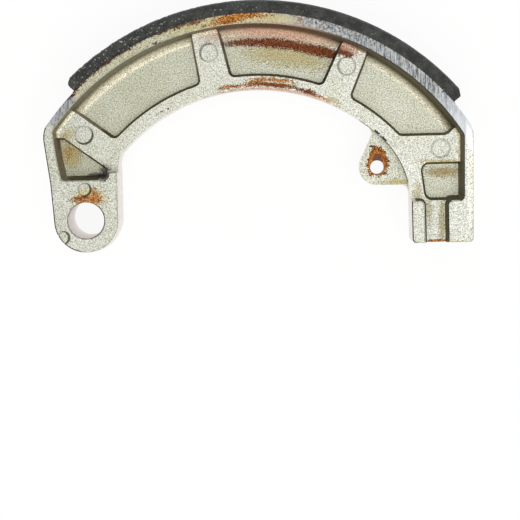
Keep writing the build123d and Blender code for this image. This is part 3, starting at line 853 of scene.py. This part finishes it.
def light_room(scene, settings):
    """A light tent: white sides, a darker top, and white wherever the camera sees it."""
    world = bpy.data.worlds.new("room")
    scene.world = world
    world.use_nodes = True
    tree = world.node_tree
    path = add(tree, "ShaderNodeLightPath", out=None).outputs
    seen = add(tree, MATH, {0: path["Is Camera Ray"], 1: path["Is Transmission Ray"]}, operation="MAXIMUM")
    rise = add(tree, SPLIT, {0: add(tree, "ShaderNodeTexCoord", out="Generated")}, out=2)
    tent = add(tree, RANGE, {0: rise, 1: 0.3, 2: 0.95, 3: settings.tent, 4: settings.room}, **SMOOTH)
    background = tree.nodes["Background"]
    background.inputs["Color"].default_value = (1, 1, 1, 1)
    tree.links.new(add(tree, MIX, {0: seen, 2: tent, 3: 1.0}), background.inputs["Strength"])


def hang_softbox(scene, settings):
    """A softbox high above the shoe, towards its cam end and its open side."""
    lamp = bpy.data.lights.new("softbox", "AREA")
    lamp.shape = "SQUARE"
    lamp.size = settings.lamp_size
    lamp.energy = settings.lamp_power
    softbox = bpy.data.objects.new("softbox", lamp)
    softbox.location = SOFTBOX_PLACE
    scene.collection.objects.link(softbox)


def set_camera(scene, settings):
    """A long lens that looks nearly straight down, turned a little."""
    lens = bpy.data.cameras.new("camera")
    lens.lens = settings.lens
    lens.sensor_width = 36.0
    lens.clip_start = 0.01
    lens.clip_end = 20.0
    camera = bpy.data.objects.new("camera", lens)
    eye = Vector(CAMERA_PLACE) * MM
    back = (eye - Vector(CAMERA_TARGET) * MM).normalized()
    right = Vector(CAMERA_UPWARD).cross(back).normalized()
    axes = Matrix((right, back.cross(right), back)).transposed()
    camera.matrix_world = Matrix.Translation(eye) @ axes.to_4x4()
    scene.collection.objects.link(camera)
    scene.camera = camera
    scene.view_settings.view_transform = "Standard"


class SHOE_OT_casting(bpy.types.Operator):
    """Give the casting its blasted, ground and rusted surface"""

    bl_idname = "brake_shoe.casting"
    bl_label = "Casting"

    def execute(self, context):
        cover_node("cast_shoe", casting_material(context.scene.shoe_casting))
        return {"FINISHED"}


class SHOE_OT_lining(bpy.types.Operator):
    """Mould the friction lining with its rough sides and bevelled ends"""

    bl_idname = "brake_shoe.lining"
    bl_label = "Friction lining"

    def execute(self, context):
        settings = context.scene.shoe_lining
        bm = spin_lining()
        put_in_order(bm)
        bevel_ends(bm)
        pit_surface(bm, settings)
        piece = new_object(bm, "moulded_lining", lining_material(settings))
        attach(piece, "root")
        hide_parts("friction_lining")
        return {"FINISHED"}


class SHOE_OT_adhesive(bpy.types.Operator):
    """Lay the adhesive film, and its crumbs along the seam"""

    bl_idname = "brake_shoe.adhesive"
    bl_label = "Adhesive"

    def execute(self, context):
        settings = context.scene.shoe_lining
        material = adhesive_material(settings)
        cover_node("bond_film", material)
        piece = new_object(strew_crumbs(settings.crumbs), "seam_crumbs", material)
        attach(piece, "root")
        return {"FINISHED"}


class SHOE_OT_stage(bpy.types.Operator):
    """Set the floor, the lights and the camera"""

    bl_idname = "brake_shoe.stage"
    bl_label = "Stage"

    def execute(self, context):
        settings = context.scene.shoe_stage
        bm = bmesh.new()
        bmesh.ops.create_grid(bm, x_segments=1, y_segments=1, size=FLOOR_HALF_SIDE)
        bmesh.ops.translate(bm, verts=bm.verts, vec=(DRUM.x, DRUM.y, SHOE_FOOT))
        floor = new_object(bm, "floor", floor_material(settings))
        light_room(context.scene, settings)
        hang_softbox(context.scene, settings)
        set_camera(context.scene, settings)
        return {"FINISHED"}


class SHOE_PT_panel(bpy.types.Panel):
    """Lists the shoe's pieces and their settings"""

    bl_idname = "SHOE_PT_panel"
    bl_label = "Brake shoe"
    bl_space_type = "VIEW_3D"
    bl_region_type = "UI"
    bl_category = "Brake shoe"

    def draw(self, context):
        scene = context.scene
        for settings, operators in (
            (scene.shoe_casting, ("brake_shoe.casting",)),
            (scene.shoe_lining, ("brake_shoe.lining", "brake_shoe.adhesive")),
            (scene.shoe_stage, ("brake_shoe.stage",)),
        ):
            box = self.layout.box()
            for name in settings.__annotations__:
                box.prop(settings, name)
            for operator in operators:
                box.operator(operator)


SETTINGS = {"shoe_casting": CastingSettings, "shoe_lining": LiningSettings, "shoe_stage": StageSettings}
OPERATORS = (SHOE_OT_casting, SHOE_OT_lining, SHOE_OT_adhesive, SHOE_OT_stage)


def register():
    for group in SETTINGS.values():
        bpy.utils.register_class(group)
    for name, group in SETTINGS.items():
        setattr(bpy.types.Scene, name, PointerProperty(type=group))
    for operator in (*OPERATORS, SHOE_PT_panel):
        bpy.utils.register_class(operator)


def unregister():
    for operator in reversed((*OPERATORS, SHOE_PT_panel)):
        bpy.utils.unregister_class(operator)
    for name, group in SETTINGS.items():
        delattr(bpy.types.Scene, name)
        bpy.utils.unregister_class(group)


def main():
    register()
    bpy.ops.brake_shoe.casting()
    bpy.ops.brake_shoe.lining()
    bpy.ops.brake_shoe.adhesive()
    bpy.ops.brake_shoe.stage()


if __name__ == "__main__":
    main()
